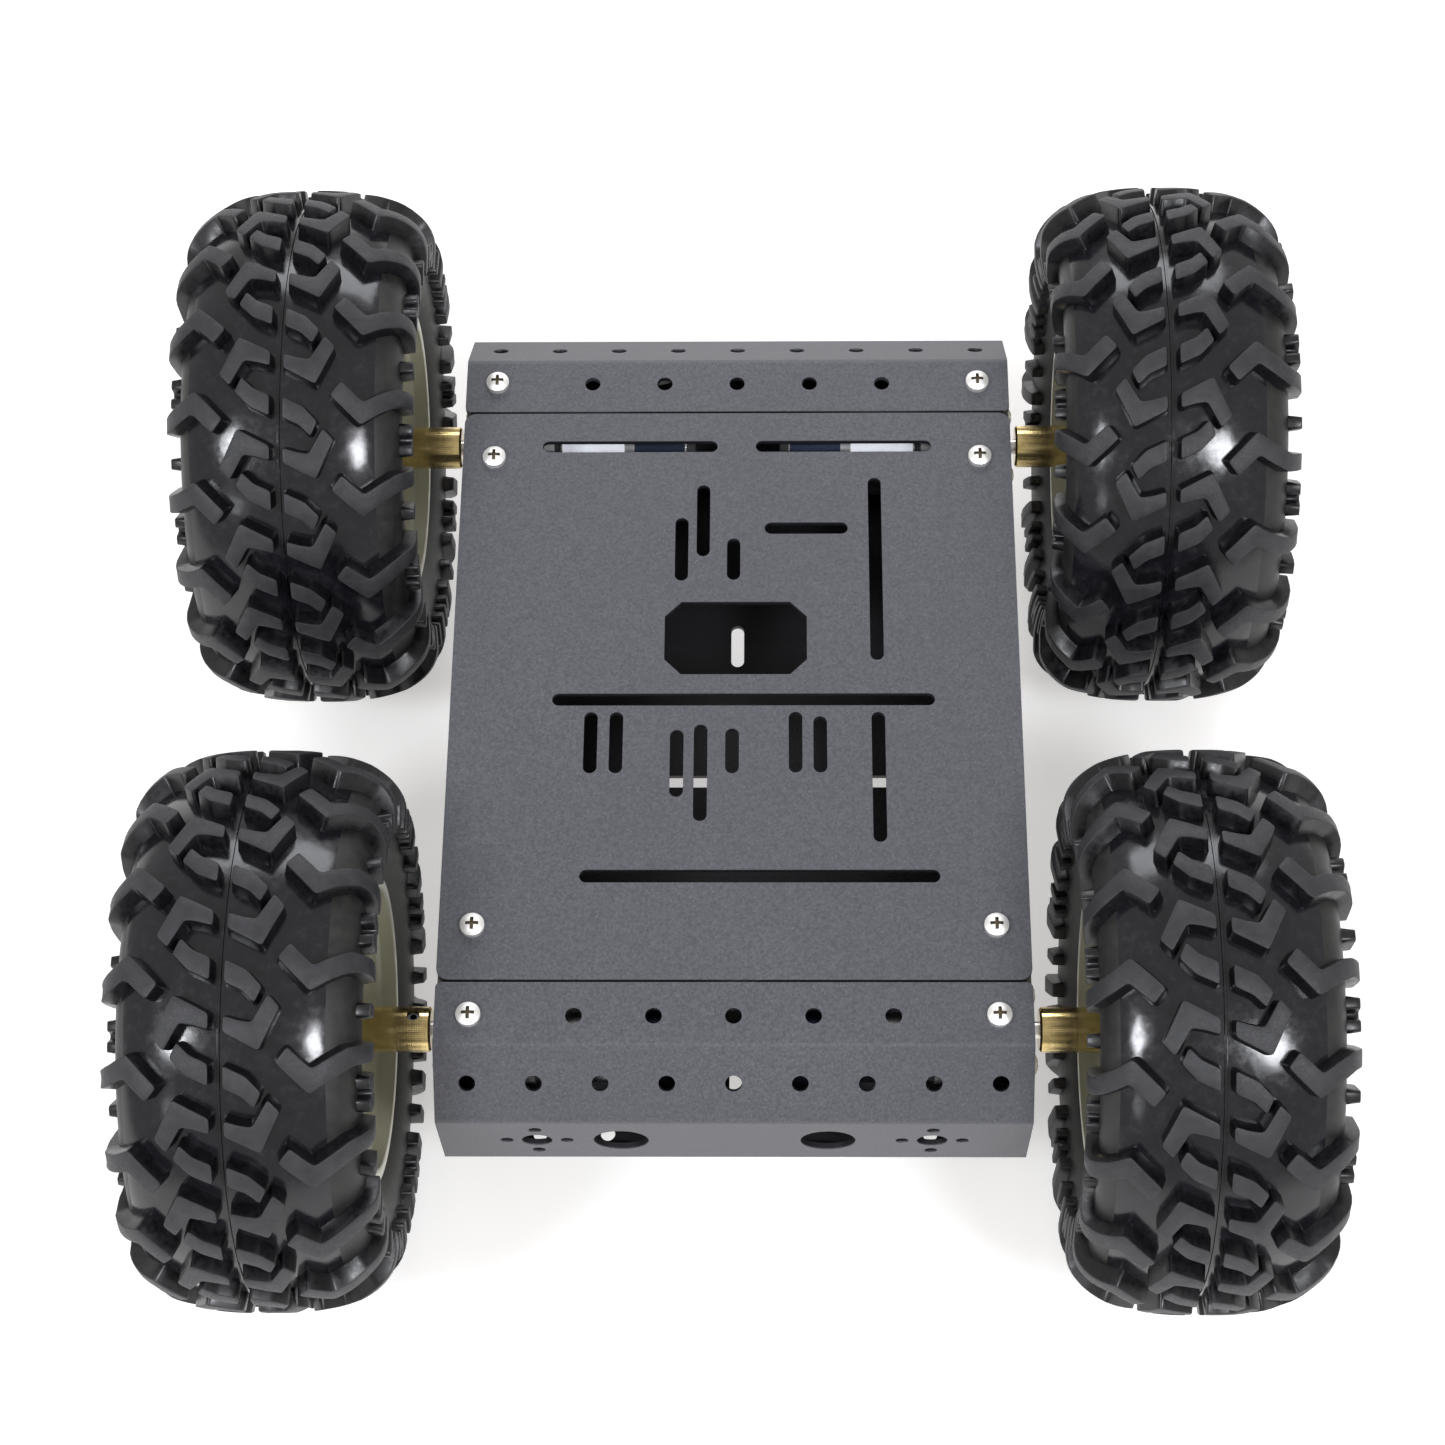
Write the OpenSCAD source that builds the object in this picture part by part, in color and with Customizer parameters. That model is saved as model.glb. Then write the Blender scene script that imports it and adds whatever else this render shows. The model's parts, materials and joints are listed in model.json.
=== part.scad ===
// Four wheel robot chassis: a folded sheet metal body on four gearmotors and off-road wheels.
// Frame: +X right, -Y front, +Z up. The origin is under the middle of the body, on the floor.

/* [Body] */
// Width of the folded body
body_w = 135; // [130:1:150]
// Height of the closed body, bottom face to top face
body_h = 36.5; // [36:0.5:45]
// Distance between the front and rear faces
body_len = 210; // [206:1:230]
// Thickness of every folded sheet
sheet_t = 1.5; // [1:0.25:1.75]
// Length of the flat top plate
plate_len = 150.6; // [146:0.2:152]
// Gap between the top plate and each end cover
seam_gap = 0.6; // [0.2:0.1:1]
// Length of an end cover's sloping strip, seen from above
slope_run = 14.2; // [12:0.2:15]
// Height of an end cover's sloping strip
slope_drop = 12.4; // [11:0.2:15]
// Inward width of the tray's top flanges
flange_w = 15; // [13:0.5:20]

/* [Holes] */
// Distance between the front and rear rows of five top holes
row_spacing = 168; // [167:0.2:170]
// Pitch of the five holes across each end cover's top
top_pitch = 18; // [14:0.5:20]
// Pitch of the nine holes along each slope
slope_pitch = 15; // [12:0.5:15]
// Diameter of both rows of fixing holes
fix_d = 3.8; // [3.2:0.1:4.4]
// Width of every long slot
slot_w = 3.2; // [3:0.1:4]
// Diameter of the two large holes in each end face
port_d = 12.6; // [10:0.2:13]
// Diameter of the middle hole of each cross pattern
cross_d = 7; // [6:0.2:7.6]
// Radius of the circle that the small cross holes lie on
cross_r = 6.9; // [6.4:0.1:8]
// Diameter of the small cross holes
cross_hole_d = 3; // [2.6:0.1:3.2]

/* [Wheels] */
// Outside diameter of a wheel
wheel_d = 130; // [126:1:140]
// Overall width of a tyre
tyre_w = 60; // [56:1:64]
// Distance between the front and rear axles
wheelbase = 158; // [150:1:158]
// Distance between the middles of the left and right tyres
track = 212; // [210:1:220]

/* [Drive] */
// Diameter of a gearbox housing
gearbox_d = 25; // [24:0.5:25]
// Diameter of a motor can
motor_d = 24.4; // [23.6:0.2:24.4]
// Height of the axles above the body's bottom face
axle_up = 14.5; // [14.4:0.1:16]
// Diameter of an output shaft
shaft_d = 4; // [3.5:0.5:4]
// Diameter of a shaft coupling's round end
coupling_d = 10.6; // [10:0.2:11.4]

/* [Hidden] */

$fn = 48;

// Heights
axle_z = wheel_d / 2;
body_z0 = axle_z - axle_up;
body_z1 = body_z0 + body_h;
tray_z1 = body_z1 - sheet_t;

// Plan of the body
half_w = body_w / 2;
half_len = body_len / 2;
seam_y = plate_len / 2 + seam_gap;
top_bend_y = half_len - slope_run;
low_bend_z = body_z1 - slope_drop;
slope_angle = atan(slope_drop / slope_run);
bend_r = 2;
tray_r = 2.5;
plate_corner_r = 2.8;
cover_corner_r = 1.3;
fit_gap = 0.1;
cut = 1;

// Holes of the covers
screw_x = half_w - 7.8;
cover_screw_y = row_spacing / 2;
plate_screw_y = 62.3;
face_row_z = body_z0 + 12;
cross_x = 45.2;
// The two large holes, left to right as seen from outside the cover
ports_x = [25.9, -21.4];
slope_y = half_len - slope_run / 2;
slope_z = body_z1 - slope_drop / 2;

// Screws
m3_r = 1.5;
m3_clear_r = 1.7;
m3_head_r = 2.8;
m3_head_h = 2.4;
m3_len = 6;
nut_r = 3.1;
nut_h = 2.4;
dome_r = 4.2;
recess_w = 0.8;
recess_len = 3;
recess_depth = 1.2;

// Slots of the top plate as [x, y, length], along the body and across it
long_slots = [
    [-13.2, 36.6, 17.5], [-8, 44.6, 20], [-0.6, 33.8, 11.5], [33.7, 31.4, 50.4],
    [-34, -15.6, 16], [-28, -15.6, 16], [-13.7, -21, 17.4], [-8.1, -23.4, 25],
    [-0.7, -17.8, 11.7], [14.2, -15.5, 15.9], [20, -16.1, 14.7], [33.7, -24.4, 33.6]
];
cross_slots = [
    [-26.3, 65.7, 43.2], [26.3, 65.7, 43.2], [17, 42.4, 20.2], [1.9, -4.3, 90.5], [5.8, -49.8, 83]
];
window_w = 34;
window_l = 19.6;
window_y = 12.2;
window_chamfer = 4;

// Slots of the tray's bottom, in the same form
tray_long_slots = [[0, 28.4, 11.7], [0.2, -86, 14], [0, 86, 14]];
tray_cross_slots = [[5, -9.2, 84], [0, -46, 60]];
// Small holes near the front edge of the tray's bottom, and turned about to the rear edge
tray_hole_y = -99.9;
tray_holes_x = [-45.3, -29.6, 45.3];
tray_hole_r = 1.7;

// Drive line, as distances from the body's middle plane
wall_in = half_w - sheet_t;
face_t = 2.5;
boss_r = 3.5;
boss_out = half_w + 0.5;
gearbox_len = 20;
gearbox_in = wall_in - gearbox_len;
plate_t = 1.3;
can_len = 32;
can_out = gearbox_in - plate_t;
can_in = can_out - can_len;
can_t = 1;
cap_t = 2;
terminal_len = 5;
terminal_w = 2.8;
terminal_t = 0.6;
terminal_r = 7.5;
cap_boss_d = 7;
cap_boss_h = 2;
magnet_t = 3;
magnet_len = 20;
magnet_in = 6;
ring_t = 0.5;
ring_len = 12.6;
motor_screw_r = 8.5;
running = 0.04;
pin_r = 1;
shaft_out = wall_in + 12;
output_in = gearbox_in + 10;

// Gears
gear_m = 0.3;
pinion_teeth = 10;
wheel_teeth = 31;
gear_a = gear_m * (pinion_teeth + wheel_teeth) / 2;
tooth_add = 0.75;
tooth_ded = 1.2;
root_share = 0.44;
pitch_share = 0.34;
tip_share = 0.16;
first_gear_in = gearbox_in + 4;
first_gear_t = 2.5;
last_gear_in = gearbox_in + 11.5;
last_gear_t = 3;

// Couplings and wheels
coupling_in = half_w + 2.8;
set_screw_w = coupling_in + 4;
set_screw_len = 3;
flat_cut = 0.5;
hex_af = 12;
hex_in = coupling_in + 20;
hex_len = 8;
hex_out = hex_in + hex_len;
m4_r = 2;
m4_head_r = 3.6;
m4_head_h = 2.6;
m4_dome_r = 5.6;
m4_thread = 10;
washer_r = 4.5;
washer_t = 0.8;
wheel_c = track / 2;
tyre_hw = tyre_w / 2;
tyre_mid_r = wheel_d / 2 - 13;
crown_h = 13;
side_h = 15;
side_end = 45;
tyre_t = 3.2;
square_power = 2 / 2.6;
bead_r = 33.5;
lip_r = 36.2;
lip_w = 2.5;
bead_w = 4;
rim_hw = 23.4;
barrel_t = 2.2;
step_t = 0.9;
step_w = 3.5;
hub_r = 10;
hub_in = hex_in + 0.4;
web_t = 4;
hub_out = hex_out + web_t + 0.4;
spokes = 6;
foam_hw = 16;
foam_r = 57;

// Positions of the corners as [side, end]: right is +1, rear is +1
fl = [-1, -1];
fr = [1, -1];
rl = [-1, 1];
rr = [1, 1];
corners = [fl, fr, rl, rr];

// How far each wheel is turned on its axle at rest, in degrees
function turn(corner) = corner[0] < 0 ? (corner[1] < 0 ? -72 : 20) : (corner[1] < 0 ? 250 : 245);

// Colours
coat = [0.30, 0.31, 0.33];
steel = [0.80, 0.80, 0.78];
brass = [0.72, 0.60, 0.30];
rubber = [0.07, 0.07, 0.08];
cream = [0.86, 0.84, 0.76];
foam = [0.25, 0.25, 0.26];
black = [0.05, 0.05, 0.05];
copper = [0.70, 0.38, 0.20];

// A rectangle with rounded corners, centred
module rounded_rect(w, l, r) {
    square([w - 2 * r, l], center = true);
    square([w, l - 2 * r], center = true);
    for (x = [-1, 1], y = [-1, 1]) translate([x * (w / 2 - r), y * (l / 2 - r)]) circle(r);
}

// A slot through a sheet, along Y, with full round ends
module slot_cut(len) {
    linear_extrude(sheet_t + 2 * cut, center = true) {
        square([slot_w, len - slot_w], center = true);
        for (s = [-1, 1]) translate([0, s * (len - slot_w) / 2]) circle(d = slot_w);
    }
}

// All slots of one sheet whose middle is at height z
module slot_cuts(along, across, z) {
    for (s = along) translate([s[0], s[1], z]) slot_cut(s[2]);
    for (s = across) translate([s[0], s[1], z]) rotate(90) slot_cut(s[2]);
}

// An M3 pan head screw, head up, with its seat at z = 0
module m3_screw(len = m3_len) {
    difference() {
        union() {
            intersection() {
                cylinder(r = m3_head_r, h = m3_head_h);
                translate([0, 0, m3_head_h - dome_r]) sphere(dome_r);
            }
            translate([0, 0, -len]) cylinder(r = m3_r, h = len + m3_head_h / 2);
        }
        for (a = [0, 90]) rotate(a) translate([0, 0, m3_head_h])
            cube([recess_len, recess_w, 2 * recess_depth], center = true);
    }
}

// Turns a piece drawn along +Z into its place on one corner's axle
module on_axle(corner) {
    translate([0, corner[1] * wheelbase / 2, axle_z]) rotate([0, 90 * corner[0], 0]) children();
}

// Points of an arc about [x, y]
function arc(x, y, r, a0, a1, n = 6) =
    [for (i = [0:n]) let (a = a0 + (a1 - a0) * i / n) [x + r * cos(a), y + r * sin(a)]];

// Upper bend of an end cover: centre of its two arcs
function upper_centre() = [top_bend_y - bend_r * tan(slope_angle / 2), body_z1 - bend_r];
// Lower bend of an end cover: centre of its two arcs
function lower_centre() =
    [half_len - bend_r, low_bend_z - bend_r * tan((90 - slope_angle) / 2)];

// Side view of an end cover's outer line, seam to bottom edge
function cover_line(r) = concat(
    [[seam_y, upper_centre()[1] + r]],
    arc(upper_centre()[0], upper_centre()[1], r, 90, 90 - slope_angle),
    arc(lower_centre()[0], lower_centre()[1], r, 90 - slope_angle, 0),
    [[lower_centre()[0] + r, body_z0]]);

function reversed(list) = [for (i = [len(list) - 1:-1:0]) list[i]];

// Side view of the tray: what lies inside both end covers
function tray_half() = concat(
    arc(upper_centre()[0], upper_centre()[1], bend_r - sheet_t, 90, 90 - slope_angle),
    arc(lower_centre()[0], lower_centre()[1], bend_r - sheet_t, 90 - slope_angle, 0),
    [[half_len - sheet_t, body_z0]]);

// Stands a drawing in the Y-Z plane and extrudes it along X, centred
module side_extrude(w) {
    translate([-w / 2, 0, 0]) rotate([90, 0, 90]) linear_extrude(w) children();
}

module base_tray() color(coat) difference() {
    intersection() {
        rotate([90, 0, 0]) linear_extrude(body_len, center = true) difference() {
            translate([0, (body_z0 + tray_z1) / 2])
                rounded_rect(body_w, tray_z1 - body_z0, tray_r);
            translate([0, (body_z0 + tray_z1) / 2])
                rounded_rect(body_w - 2 * sheet_t, tray_z1 - body_z0 - 2 * sheet_t,
                    tray_r - sheet_t);
            translate([0, tray_z1])
                square([body_w - 2 * flange_w, 4 * sheet_t], center = true);
        }
        side_extrude(body_w + 2 * cut) polygon(concat(
            tray_half(), reversed([for (p = tray_half()) [-p[0], p[1]]])));
    }
    slot_cuts(tray_long_slots, tray_cross_slots, body_z0 + sheet_t / 2);
    for (a = [0, 180], x = tray_holes_x) rotate(a) translate([x, tray_hole_y, body_z0 - cut])
        cylinder(r = tray_hole_r, h = sheet_t + 2 * cut);
    for (x = [-screw_x, screw_x], y = [-cover_screw_y, -plate_screw_y, plate_screw_y,
        cover_screw_y]) translate([x, y, tray_z1 - sheet_t - cut])
            cylinder(r = m3_clear_r, h = sheet_t + 2 * cut);
    for (c = corners) on_axle(c) translate([0, 0, wall_in - cut]) {
        cylinder(r = boss_r + fit_gap, h = sheet_t + 2 * cut);
        for (s = [-1, 1]) translate([0, s * motor_screw_r, 0])
            cylinder(r = m3_clear_r, h = sheet_t + 2 * cut);
    }
}

module top_plate() color(coat) difference() {
    translate([0, 0, tray_z1]) linear_extrude(sheet_t)
        rounded_rect(body_w, plate_len, plate_corner_r);
    slot_cuts(long_slots, cross_slots, tray_z1 + sheet_t / 2);
    translate([0, window_y, tray_z1 - cut]) linear_extrude(sheet_t + 2 * cut)
        intersection() {
            square([window_w, window_l], center = true);
            rotate(45) square((window_w + window_l) / sqrt(2) - window_chamfer * sqrt(2),
                center = true);
        }
    for (x = [-screw_x, screw_x], y = [-plate_screw_y, plate_screw_y])
        translate([x, y, tray_z1 - cut]) cylinder(r = m3_clear_r, h = sheet_t + 2 * cut);
}

// An end cover, drawn for the rear (+Y)
module end_cover() difference() {
    intersection() {
        side_extrude(body_w)
            polygon(concat(cover_line(bend_r), reversed(cover_line(bend_r - sheet_t))));
        translate([0, seam_y + body_len / 2, body_z0 - cut]) linear_extrude(body_h + 2 * cut)
            rounded_rect(body_w, body_len, cover_corner_r);
    }
    for (x = [-screw_x, screw_x]) translate([x, cover_screw_y, tray_z1 - cut])
        cylinder(r = m3_clear_r, h = sheet_t + 2 * cut);
    for (i = [-2:2]) translate([i * top_pitch, cover_screw_y, tray_z1 - cut])
        cylinder(d = fix_d, h = sheet_t + 2 * cut);
    for (i = [-4:4]) translate([i * slope_pitch, slope_y, slope_z]) rotate([-slope_angle, 0, 0])
        cylinder(d = fix_d, h = 4 * sheet_t, center = true);
    for (x = ports_x) translate([x, half_len + cut, face_row_z]) rotate([90, 0, 0])
        cylinder(d = port_d, h = sheet_t + 2 * cut);
    for (x = [-cross_x, cross_x]) translate([x, half_len + cut, face_row_z]) rotate([90, 0, 0]) {
        cylinder(d = cross_d, h = sheet_t + 2 * cut);
        for (a = [0:90:270]) rotate(a) translate([cross_r, 0, 0])
            cylinder(d = cross_hole_d, h = sheet_t + 2 * cut);
    }
}

module front_cover() color(coat) rotate(180) end_cover();
module rear_cover() color(coat) end_cover();

module plate_screws() color(steel)
    for (x = [-screw_x, screw_x], y = [-plate_screw_y, plate_screw_y])
        translate([x, y, body_z1]) m3_screw();

module cover_screws() color(steel)
    for (x = [-screw_x, screw_x], y = [-cover_screw_y, cover_screw_y])
        translate([x, y, body_z1]) m3_screw();

module press_nuts() color(steel)
    for (x = [-screw_x, screw_x], y = [-cover_screw_y, -plate_screw_y, plate_screw_y,
        cover_screw_y]) translate([x, y, tray_z1 - sheet_t - nut_h]) difference() {
            cylinder(r = nut_r, h = nut_h, $fn = 6);
            translate([0, 0, -cut]) cylinder(r = m3_r, h = nut_h + 2 * cut);
        }

module motor_screws() color(steel)
    for (c = corners, s = [-1, 1]) on_axle(c) translate([0, s * motor_screw_r, half_w])
        m3_screw(sheet_t + face_t - fit_gap);

module gearbox_plates() color(black) for (c = corners) on_axle(c)
    translate([0, 0, can_out]) difference() {
        cylinder(d = motor_d, h = plate_t);
        translate([0, 0, -cut]) cylinder(r = 3, h = plate_t + 2 * cut);
        translate([-c[0] * gear_a, 0, -cut]) cylinder(r = pin_r, h = plate_t + 2 * cut);
    }

module idler_pins() color(steel) for (c = corners) on_axle(c)
    translate([-c[0] * gear_a, 0, can_out]) cylinder(r = pin_r, h = gearbox_len + plate_t - 1);

module motor_magnets() color(foam) for (c = corners, s = [0, 180]) on_axle(c) rotate(s)
    translate([0, 0, can_in + magnet_in]) rotate(-60) rotate_extrude(angle = 120)
        translate([motor_d / 2 - can_t - magnet_t, 0]) square([magnet_t, magnet_len]);

module motor_caps() color(black) for (c = corners) on_axle(c)
    translate([0, 0, can_in - cap_t]) difference() {
        union() {
            cylinder(d = motor_d, h = cap_t);
            translate([0, 0, cap_t]) cylinder(d = cap_boss_d, h = cap_boss_h);
        }
        translate([0, 0, 1]) cylinder(r = pin_r + running, h = cap_t + 2);
        for (s = [-1, 1]) translate([s * terminal_r, 0, cap_t / 2])
            cube([terminal_t, terminal_w, cap_t + 2 * cut], center = true);
    }

module motor_terminals() color(brass) for (c = corners, s = [-1, 1]) on_axle(c)
    translate([s * terminal_r - terminal_t / 2, -terminal_w / 2, can_in - cap_t - terminal_len])
        cube([terminal_t, terminal_w, cap_t + terminal_len]);

// Steel ring that closes the field around the magnets of each motor
module flux_rings() color(black) for (c = corners) on_axle(c)
    translate([0, 0, can_in + 0.5]) difference() {
        cylinder(r = motor_d / 2 + ring_t, h = ring_len);
        translate([0, 0, -cut]) cylinder(r = motor_d / 2 + running / 2, h = ring_len + 2 * cut);
    }

// Outline of a gear: straight flanks, and a tooth middle at angle zero
module gear_outline(teeth) {
    step = 360 / teeth;
    r = gear_m * teeth / 2;
    root = r - tooth_ded * gear_m;
    tip = r + tooth_add * gear_m;
    polygon([for (i = [0:teeth - 1]) for (k = [[root, -root_share], [r, -pitch_share],
        [tip, -tip_share], [tip, tip_share], [r, pitch_share], [root, root_share]])
            let (a = (i + k[1] / 2) * step) [k[0] * cos(a), k[0] * sin(a)]]);
}

module gearbox(corner) color(steel) on_axle(corner) difference() {
    union() {
        translate([0, 0, gearbox_in]) cylinder(d = gearbox_d, h = gearbox_len);
        translate([0, 0, wall_in - cut]) cylinder(r = boss_r, h = boss_out - wall_in + cut);
    }
    translate([0, 0, gearbox_in - cut])
        cylinder(d = gearbox_d - 2, h = gearbox_len - face_t + cut);
    cylinder(d = shaft_d + 2 * running, h = half_w + 2 * cut);
    translate([-corner[0] * gear_a, 0, gearbox_in])
        cylinder(r = pin_r, h = gearbox_len - 1);
    for (s = [-1, 1]) translate([0, s * motor_screw_r, wall_in - face_t - cut])
        cylinder(r = m3_r, h = face_t + 2 * cut);
}

// Output shaft with its gear; a flat for the set screws runs along its outer end
module output_shaft(corner) color(steel) on_axle(corner) {
    difference() {
        translate([0, 0, output_in]) cylinder(d = shaft_d, h = shaft_out - output_in);
        rotate(turn(corner)) translate([-shaft_d / 2, shaft_d / 2 - flat_cut, coupling_in])
            cube([shaft_d, shaft_d, shaft_out - coupling_in + cut]);
    }
    translate([0, 0, last_gear_in]) linear_extrude(last_gear_t)
        rotate(90 + 90 * corner[0] + 180 / wheel_teeth) gear_outline(wheel_teeth);
}

// Intermediate gear: the motor drives its wide part, and its narrow part drives the output
module cluster_gear(corner) color(brass) on_axle(corner) translate([-corner[0] * gear_a, 0, 0])
    difference() {
        union() {
            translate([0, 0, first_gear_in]) linear_extrude(first_gear_t)
                rotate(90 - 90 * corner[0] + 180 / wheel_teeth) gear_outline(wheel_teeth);
            translate([0, 0, first_gear_in]) linear_extrude(last_gear_in + last_gear_t
                + 0.5 - first_gear_in) rotate(90 - 90 * corner[0]) gear_outline(pinion_teeth);
        }
        translate([0, 0, gearbox_in]) cylinder(r = pin_r + running, h = gearbox_len);
    }

// Armature, commutator and pinion on one thin shaft
module rotor(corner) color(copper) on_axle(corner) {
    translate([0, 0, can_in - 0.8]) cylinder(r = pin_r, h = first_gear_in - can_in + 0.8);
    translate([0, 0, can_in + 2.4]) cylinder(d = 7, h = 3);
    translate([0, 0, can_in + 6.5]) difference() {
        cylinder(d = 15, h = 19);
        for (a = [0:72:288]) rotate(a) translate([5, -0.8, -cut]) cube([5, 1.6, 19 + 2 * cut]);
    }
    translate([0, 0, first_gear_in - 1]) linear_extrude(first_gear_t + 1.5)
        rotate(90 + 90 * corner[0]) gear_outline(pinion_teeth);
}

module motor_can(corner) color(steel) on_axle(corner) translate([0, 0, can_in]) difference() {
    cylinder(d = motor_d, h = can_len);
    translate([0, 0, -cut]) cylinder(d = motor_d - 2 * can_t, h = can_len - can_t + cut);
    cylinder(r = pin_r + running, h = can_len + cut);
}

// Brass coupling: round end for the shaft, hexagon end for the wheel
module coupling(corner) color(brass) on_axle(corner) difference() {
    union() {
        translate([0, 0, coupling_in]) cylinder(d1 = coupling_d - 1, d2 = coupling_d, h = 0.5);
        translate([0, 0, coupling_in + 0.5]) cylinder(d = coupling_d, h = hex_in - coupling_in);
        translate([0, 0, hex_in]) rotate(turn(corner))
            cylinder(d = hex_af / cos(30), h = hex_len, $fn = 6);
    }
    translate([0, 0, coupling_in - cut]) cylinder(d = shaft_d, h = 14 + cut);
    translate([0, 0, hex_out - 11]) cylinder(r = m4_r, h = 11 + cut);
    for (a = [0, 90]) rotate(a + turn(corner)) translate([0, 0, set_screw_w])
        rotate([-90, 0, 0]) cylinder(r = m3_r, h = coupling_d);
}

// One set screw bears on the shaft's flat, the other on its round side
module set_screws(corner) color(steel) on_axle(corner) for (a = [0, 90])
    rotate(a + turn(corner)) translate([0, shaft_d / 2 - (a == 0 ? flat_cut : 0), set_screw_w])
        rotate([-90, 0, 0]) difference() {
            cylinder(r = m3_r, h = set_screw_len);
            translate([0, 0, set_screw_len / 2]) cylinder(r = 0.87, h = set_screw_len, $fn = 6);
        }

module wheel_screw(corner) color(steel) on_axle(corner) translate([0, 0, hub_out]) {
    difference() {
        union() {
            cylinder(r = washer_r, h = washer_t);
            translate([0, 0, washer_t]) intersection() {
                cylinder(r = m4_head_r, h = m4_head_h);
                translate([0, 0, m4_head_h - m4_dome_r]) sphere(m4_dome_r);
            }
            translate([0, 0, -m4_thread]) cylinder(r = m4_r, h = m4_thread + 1);
        }
        for (a = [0, 90]) rotate(a) translate([0, 0, washer_t + m4_head_h])
            cube([4, 1, 2 * recess_depth], center = true);
    }
}

// A tyre's cross-section follows a squared ellipse, given here as [radius, offset]
function squared(c) = sign(c) * pow(abs(c), square_power);
function tyre_arc(w, up, down, a0, a1, n = 40) = [for (i = [0:n])
    let (a = a0 + (a1 - a0) * i / n)
        [tyre_mid_r + squared(sin(a)) * (a > 0 && a < 180 ? up : down), w * squared(cos(a))]];

// Soft tyre: hollow, open towards the rim
module tyre(corner) color(rubber) on_axle(corner) translate([0, 0, wheel_c])
    rotate_extrude($fn = 96) polygon(concat(
        [[bead_r, rim_hw - lip_w], [lip_r + 0.2, rim_hw - lip_w]],
        tyre_arc(tyre_hw, crown_h, side_h, -side_end, 180 + side_end),
        [[lip_r + 0.2, lip_w - rim_hw], [bead_r, lip_w - rim_hw]],
        [[bead_r, lip_w + bead_w - rim_hw], [lip_r + 0.2, lip_w + bead_w - rim_hw]],
        tyre_arc(tyre_hw - tyre_t, crown_h - tyre_t, side_h, 180 + side_end, -side_end),
        [[lip_r + 0.2, rim_hw - lip_w - bead_w], [bead_r, rim_hw - lip_w - bead_w]]));

module foam_insert(corner) color(foam) on_axle(corner) translate([0, 0, wheel_c - foam_hw])
    difference() {
        cylinder(r = foam_r, h = 2 * foam_hw, $fn = 96);
        translate([0, 0, -cut]) cylinder(r = bead_r + fit_gap, h = 2 * (foam_hw + cut), $fn = 96);
    }

// Half of the rim's cross-section: a barrel with a rounded lip and a step inside its mouth
function rim_half() = concat(
    [[bead_r - barrel_t, 0], [bead_r - barrel_t, rim_hw - step_w - step_t],
        [bead_r - barrel_t + step_t, rim_hw - step_w], [bead_r - barrel_t + step_t, rim_hw]],
    arc(lip_r - lip_w / 2, rim_hw - lip_w / 2, lip_w / 2, 90, -90),
    [[bead_r, rim_hw - lip_w], [bead_r, 0]]);

// Plastic rim: barrel, six spokes and a hexagon socket
module rim(corner) color(cream) on_axle(corner) difference() {
    union() {
        translate([0, 0, wheel_c]) rotate_extrude($fn = 96) polygon(concat(
            rim_half(), reversed([for (p = rim_half()) [p[0], -p[1]]])));
        difference() {
            rotate_extrude($fn = 96) polygon([[hub_r - 1, hub_out - web_t],
                [bead_r - 1, hub_out + web_t], [bead_r - 1, hub_out + 2 * web_t],
                [hub_r - 1, hub_out]]);
            for (a = [0:360 / spokes:359]) rotate(a + turn(corner)) translate([0, 0, hub_in])
                linear_extrude(8 * web_t) intersection() {
                    difference() {
                        circle(bead_r - barrel_t - 3);
                        circle(hub_r + 4);
                    }
                    polygon([[0, 0], [60, -21], [60, 21]]);
                }
        }
        translate([0, 0, hub_in]) cylinder(r = hub_r, h = hub_out - hub_in);
    }
    translate([0, 0, hub_in - cut]) rotate(turn(corner))
        cylinder(d = (hex_af + 2 * running) / cos(30), h = hex_out - hub_in + cut + 0.1, $fn = 6);
    cylinder(r = m4_r + 0.15, h = hub_out + cut);
}

base_tray();
top_plate();
front_cover();
rear_cover();
plate_screws();
cover_screws();
press_nuts();
motor_screws();
gearbox_plates();
idler_pins();
motor_magnets();
motor_caps();
motor_terminals();
flux_rings();
tyre(fl);  // fl_tyre
foam_insert(fl);  // fl_foam_insert
rim(fl);  // fl_rim
coupling(fl);  // fl_coupling
set_screws(fl);  // fl_set_screws
wheel_screw(fl);  // fl_wheel_screw
gearbox(fl);  // fl_gearbox
output_shaft(fl);  // fl_output_shaft
cluster_gear(fl);  // fl_cluster_gear
motor_can(fl);  // fl_motor_can
rotor(fl);  // fl_rotor
tyre(fr);  // fr_tyre
foam_insert(fr);  // fr_foam_insert
rim(fr);  // fr_rim
coupling(fr);  // fr_coupling
set_screws(fr);  // fr_set_screws
wheel_screw(fr);  // fr_wheel_screw
gearbox(fr);  // fr_gearbox
output_shaft(fr);  // fr_output_shaft
cluster_gear(fr);  // fr_cluster_gear
motor_can(fr);  // fr_motor_can
rotor(fr);  // fr_rotor
tyre(rl);  // rl_tyre
foam_insert(rl);  // rl_foam_insert
rim(rl);  // rl_rim
coupling(rl);  // rl_coupling
set_screws(rl);  // rl_set_screws
wheel_screw(rl);  // rl_wheel_screw
gearbox(rl);  // rl_gearbox
output_shaft(rl);  // rl_output_shaft
cluster_gear(rl);  // rl_cluster_gear
motor_can(rl);  // rl_motor_can
rotor(rl);  // rl_rotor
tyre(rr);  // rr_tyre
foam_insert(rr);  // rr_foam_insert
rim(rr);  // rr_rim
coupling(rr);  // rr_coupling
set_screws(rr);  // rr_set_screws
wheel_screw(rr);  // rr_wheel_screw
gearbox(rr);  // rr_gearbox
output_shaft(rr);  // rr_output_shaft
cluster_gear(rr);  // rr_cluster_gear
motor_can(rr);  // rr_motor_can
rotor(rr);  // rr_rotor
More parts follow.
